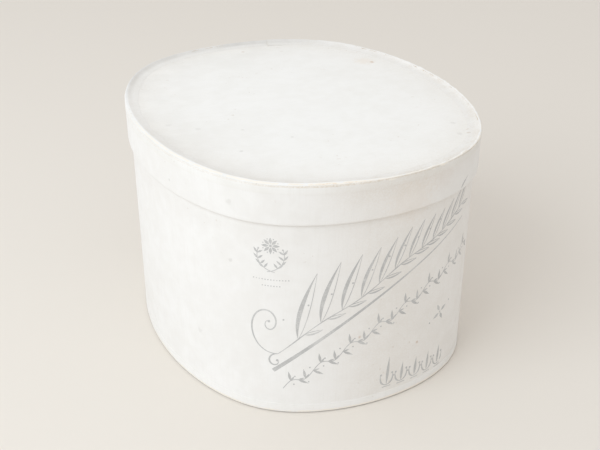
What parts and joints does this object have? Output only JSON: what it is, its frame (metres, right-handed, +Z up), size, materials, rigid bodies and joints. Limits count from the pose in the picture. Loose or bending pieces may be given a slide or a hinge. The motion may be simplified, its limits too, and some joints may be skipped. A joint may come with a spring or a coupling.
{
  "type": "hat box",
  "caption": "Oval cardboard hat box with straight sides, a flat base and a shallow lift-off lid with a raised rim, covered and lined with paper.",
  "frame": {"origin": "on the floor under the middle of the oval, lid on", "axes": "+Z up, long axis of the oval along Y, front end (the printed side) at -Y, strip seams at the back end +Y"},
  "size_m": [0.288, 0.34, 0.2088],
  "materials": {
    "cover_paper": "aged off-white paper, matt, faint fibres and small brown spots",
    "top_paper": "aged off-white paper with a slight sheen",
    "binding_paper": "aged off-white paper strip, rubbed cream and buff along the edge",
    "lining_paper": "plain matt lining paper",
    "strawboard": "buff strawboard",
    "printing_ink": "faded dark grey printing ink on paper"
  },
  "bodies": {
    "box": {"wall_board": "strawboard", "base_board": "strawboard", "wall_cover_paper": "cover_paper", "base_edge_binding": "binding_paper", "base_cover_paper": "cover_paper", "wall_lining_paper": "lining_paper", "base_lining_paper": "lining_paper", "base_corner_strip": "lining_paper"},
    "lid": {"lid_skirt_board": "strawboard", "lid_panel_board": "strawboard", "lid_rim_binding": "binding_paper", "lid_top_paper": "top_paper", "lid_skirt_paper": "cover_paper", "lid_skirt_lining": "lining_paper", "lid_panel_lining": "lining_paper", "lid_corner_strip": "lining_paper"}
  },
  "joints": [
    {"name": "lid_lift", "type": "slide", "parent": "box", "child": "lid", "axis": [0, 0, 1], "range_m": [0, 0.12]}
  ]
}
